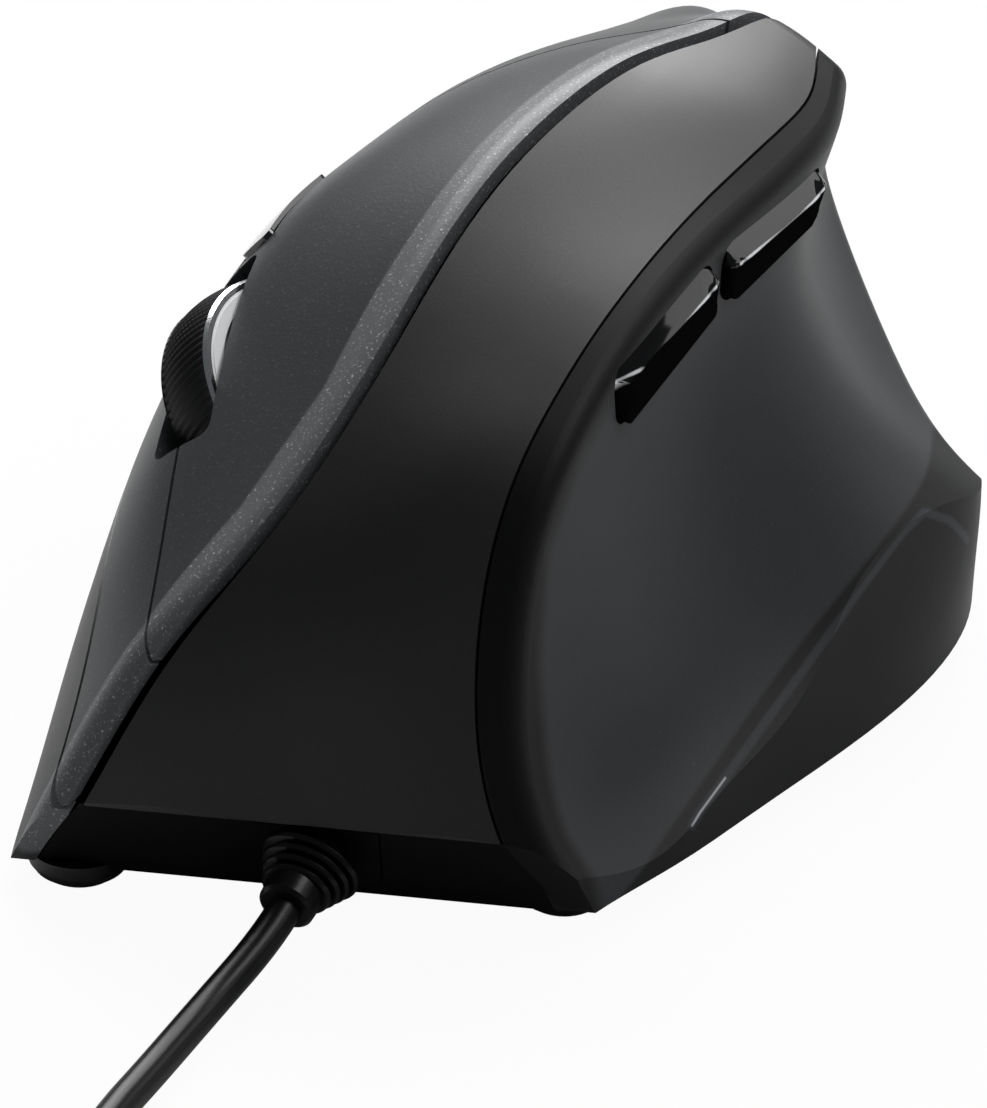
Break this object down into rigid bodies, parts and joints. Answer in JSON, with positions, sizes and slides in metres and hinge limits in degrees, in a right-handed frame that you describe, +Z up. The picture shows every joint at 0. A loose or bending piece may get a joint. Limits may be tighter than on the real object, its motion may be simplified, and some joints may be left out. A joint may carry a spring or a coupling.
{
  "type": "ergonomic computer mouse",
  "caption": "Right-handed ergonomic wired mouse with a sloping shell, two click plates, scroll wheel, thumb keys, inner boards and a coiled cable with a plug.",
  "frame": {"origin": "on the table under the middle of the mouse body", "axes": "+X towards the thumb side, +Y from the front, where the cable leaves, to the palm end, +Z up"},
  "size_m": [0.0807, 0.2369, 0.0592],
  "materials": {
    "button_plastic": "fine matte charcoal with a faint sparkle",
    "soft_touch": "soft-touch coated, warm near-black",
    "palm_plastic": "fine matte charcoal",
    "thumb_plastic": "satin dark grey",
    "base_plastic": "matte black",
    "gloss_key": "piano black",
    "foot_pad": "smooth",
    "wheel_rubber": "ribbed",
    "silver_trim": "polished",
    "wheel_core": "silver painted",
    "steel": "bright",
    "frame_plastic": "moulded",
    "circuit_board": "solder mask",
    "switch_plastic": "moulded",
    "chip_plastic": "moulded epoxy",
    "clear_lens": "clear",
    "white_plastic": "moulded",
    "cable_rubber": "smooth matt",
    "plug_plastic": "moulded"
  },
  "bodies": {
    "base": {"top_cover": "soft_touch", "palm_shell": "palm_plastic", "thumb_shell": "thumb_plastic", "base": "base_plastic", "cable_insert": "base_plastic", "feet": "foot_pad", "button_frame": "frame_plastic", "button_board": "circuit_board", "left_switch": "switch_plastic", "right_switch": "switch_plastic", "middle_switch": "switch_plastic", "resolution_switch": "switch_plastic", "wheel_encoder": "switch_plastic", "side_board": "circuit_board", "front_side_switch": "switch_plastic", "rear_side_switch": "switch_plastic", "main_board": "circuit_board", "optical_sensor": "chip_plastic", "sensor_lens": "clear_lens", "controller_chip": "chip_plastic", "cable_connector": "white_plastic", "inner_lead": "cable_rubber", "board_screws": "steel", "base_screws": "steel", "strain_relief": "cable_rubber", "cable": "cable_rubber", "cable_coil": "cable_rubber", "coil_tie": "base_plastic", "cable_end": "cable_rubber", "plug_relief": "plug_plastic", "plug_housing": "plug_plastic", "plug_shell": "steel", "plug_tongue": "white_plastic"},
    "left_click": {"left_click_plate": "button_plastic"},
    "right_click": {"right_click_plate": "button_plastic"},
    "resolution_key": {"resolution_button": "gloss_key"},
    "front_side_key": {"front_side_button": "gloss_key"},
    "rear_side_key": {"rear_side_button": "gloss_key"},
    "carrier": {"wheel_carrier": "white_plastic"},
    "wheel": {"wheel_hub": "wheel_core", "wheel_tyre": "wheel_rubber", "wheel_trim": "silver_trim", "wheel_axle": "steel"}
  },
  "joints": [
    {"name": "left_click_hinge", "type": "hinge", "parent": "base", "child": "left_click", "pos_m": [0.01245, 0.0215, 0.057], "axis": [0.8225, 0.2188, 0.525], "range_deg": [0, 0.4], "stiffness_Nm_per_rad": 5},
    {"name": "right_click_hinge", "type": "hinge", "parent": "base", "child": "right_click", "pos_m": [0.01245, 0.0215, 0.057], "axis": [0.8225, 0.2188, 0.525], "range_deg": [0, 0.4], "stiffness_Nm_per_rad": 5},
    {"name": "resolution_press", "type": "slide", "parent": "base", "child": "resolution_key", "axis": [0.7468, -0.1716, -0.6426], "range_m": [0, 0.0005], "stiffness_N_per_m": 600},
    {"name": "front_side_press", "type": "slide", "parent": "base", "child": "front_side_key", "axis": [-0.9563, 0.2627, 0.1281], "range_m": [0, 0.0008], "stiffness_N_per_m": 600},
    {"name": "rear_side_press", "type": "slide", "parent": "base", "child": "rear_side_key", "axis": [-0.9465, 0.3164, 0.0644], "range_m": [0, 0.0008], "stiffness_N_per_m": 600},
    {"name": "wheel_press", "type": "slide", "parent": "base", "child": "carrier", "axis": [0.6887, 0.2383, -0.6847], "range_m": [0, 0.0005], "stiffness_N_per_m": 1500},
    {"name": "wheel_spin", "type": "hinge", "parent": "carrier", "child": "wheel", "pos_m": [-0.02269, -0.01248, 0.03083], "axis": [0.7249, -0.2079, 0.6568], "continuous": true}
  ]
}
